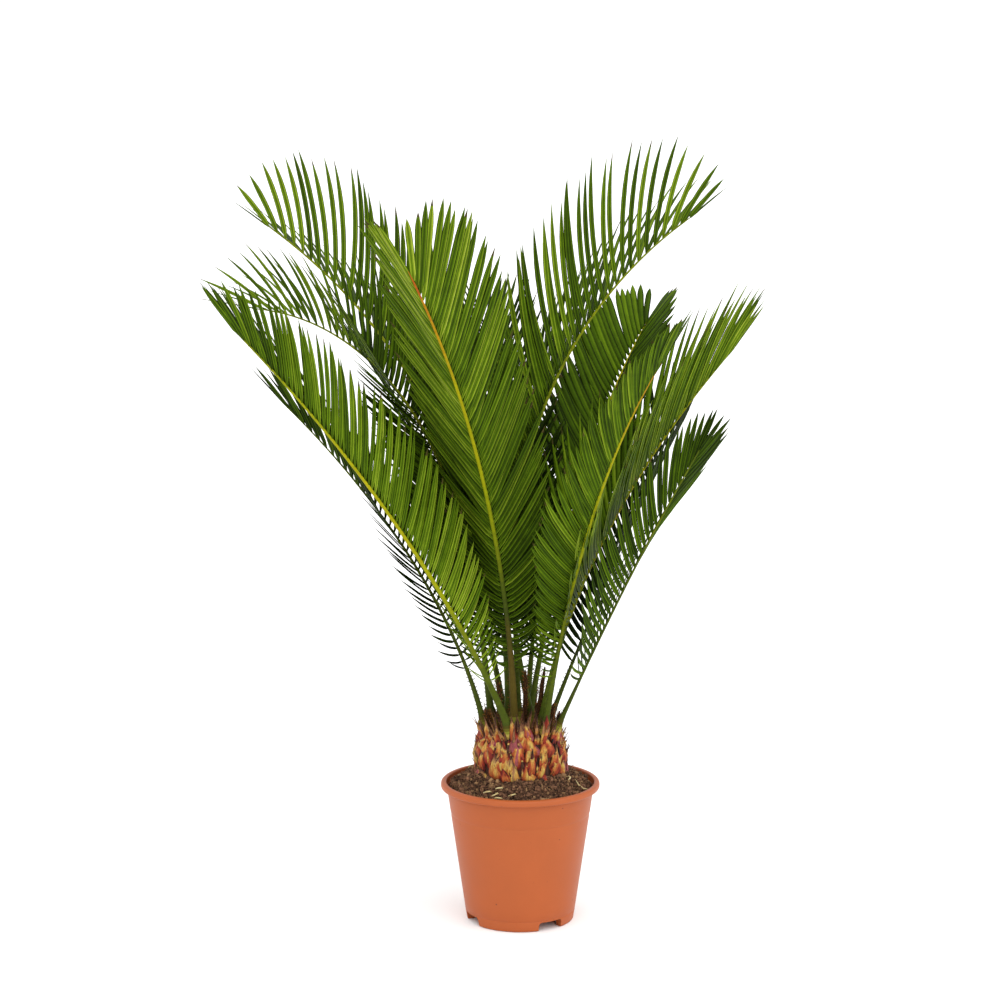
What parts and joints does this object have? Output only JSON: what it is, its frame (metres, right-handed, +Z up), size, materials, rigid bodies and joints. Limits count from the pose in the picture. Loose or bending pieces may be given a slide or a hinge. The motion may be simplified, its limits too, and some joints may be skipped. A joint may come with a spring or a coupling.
{
  "type": "potted sago palm",
  "caption": "Young sago palm with a short scaly caudex and stiff arching fronds, in a round tapered nursery pot with a rolled lip.",
  "frame": {"origin": "centre of the pot's flat underside, on the surface it stands on", "axes": "+Z up along the pot's axis, +X to the right and -Y to the front, towards the two fronds that lean forward"},
  "size_m": [0.5763, 0.7593, 0.8303],
  "materials": {
    "pot": "matte terracotta-coloured plastic",
    "soil": "loose fibrous potting soil",
    "caudex": "dry overlapping leaf-base scales",
    "frond": "glossy stiff leaf"
  },
  "bodies": {
    "root": {"pot": "pot", "soil": "soil", "caudex": "caudex", "frond_front": "frond", "frond_front_left": "frond", "frond_front_right": "frond", "frond_right_low": "frond", "frond_right_long": "frond", "frond_right_high": "frond", "frond_right_back": "frond", "frond_back_right": "frond", "frond_left_high": "frond", "frond_left_arching": "frond", "frond_left_low": "frond", "frond_back": "frond", "frond_back_left": "frond", "frond_back_low": "frond"}
  },
  "joints": []
}
